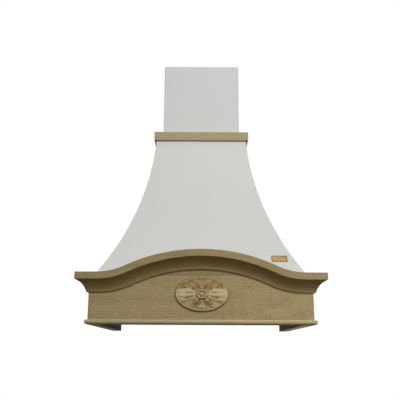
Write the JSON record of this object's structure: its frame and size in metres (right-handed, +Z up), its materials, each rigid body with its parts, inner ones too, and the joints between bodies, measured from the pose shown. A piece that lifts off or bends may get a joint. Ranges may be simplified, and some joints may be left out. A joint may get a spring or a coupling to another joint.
{
  "type": "wooden range hood cover",
  "caption": "Wall-mounted range hood cover: oak box with an arched crown moulding and a carved rosette, flared painted dome, oak band and a chimney that slides up.",
  "frame": {"origin": "on the wall plane, midway between the two screw holes of the hanging rail", "axes": "+X to the right seen from the front, +Y into the wall, +Z up; the front faces -Y"},
  "size_m": [0.6, 0.5, 0.785],
  "materials": {
    "raw_oak": "sanded, unfinished oak with fine straight grain",
    "painted_panel": "satin warm off-white paint on bent plywood",
    "birch_plywood": "sanded, unfinished",
    "pine_batten": "planed, unfinished",
    "brass_plate": "thin brushed sheet, bare",
    "screw_zinc": "zinc plated"
  },
  "bodies": {
    "cover": {"arch_board": "raw_oak", "arched_crown": "raw_oak", "collar_plate": "birch_plywood", "deck_ring": "birch_plywood", "front_band": "raw_oak", "front_board": "raw_oak", "front_deck_cleat": "pine_batten", "front_insert_bearer": "pine_batten", "front_ledge": "raw_oak", "front_skin": "painted_panel", "hanging_rail": "pine_batten", "left_band": "raw_oak", "left_corner_block": "pine_batten", "left_crown_return": "raw_oak", "left_deck_cleat": "pine_batten", "left_front_rib": "birch_plywood", "left_hip_rib": "birch_plywood", "left_insert_bearer": "pine_batten", "left_ledge": "raw_oak", "left_rear_rib": "birch_plywood", "left_seat_rail": "pine_batten", "left_side_board": "raw_oak", "left_side_rib": "birch_plywood", "left_skin": "painted_panel", "lower_wall_rail": "pine_batten", "right_band": "raw_oak", "right_corner_block": "pine_batten", "right_crown_return": "raw_oak", "right_deck_cleat": "pine_batten", "right_front_rib": "birch_plywood", "right_hip_rib": "birch_plywood", "right_insert_bearer": "pine_batten", "right_ledge": "raw_oak", "right_rear_rib": "birch_plywood", "right_seat_rail": "pine_batten", "right_side_board": "raw_oak", "right_side_rib": "birch_plywood", "right_skin": "painted_panel", "rosette": "raw_oak"},
    "chimney": {"chimney_front_panel": "painted_panel", "chimney_left_panel": "painted_panel", "chimney_right_panel": "painted_panel", "left_chimney_batten": "pine_batten", "lower_chimney_tie": "pine_batten", "right_chimney_batten": "pine_batten", "upper_chimney_tie": "pine_batten"}
  },
  "joints": [
    {"name": "chimney_slide", "type": "slide", "parent": "cover", "child": "chimney", "axis": [0, 0, 1], "range_m": [0, 0.15]}
  ]
}
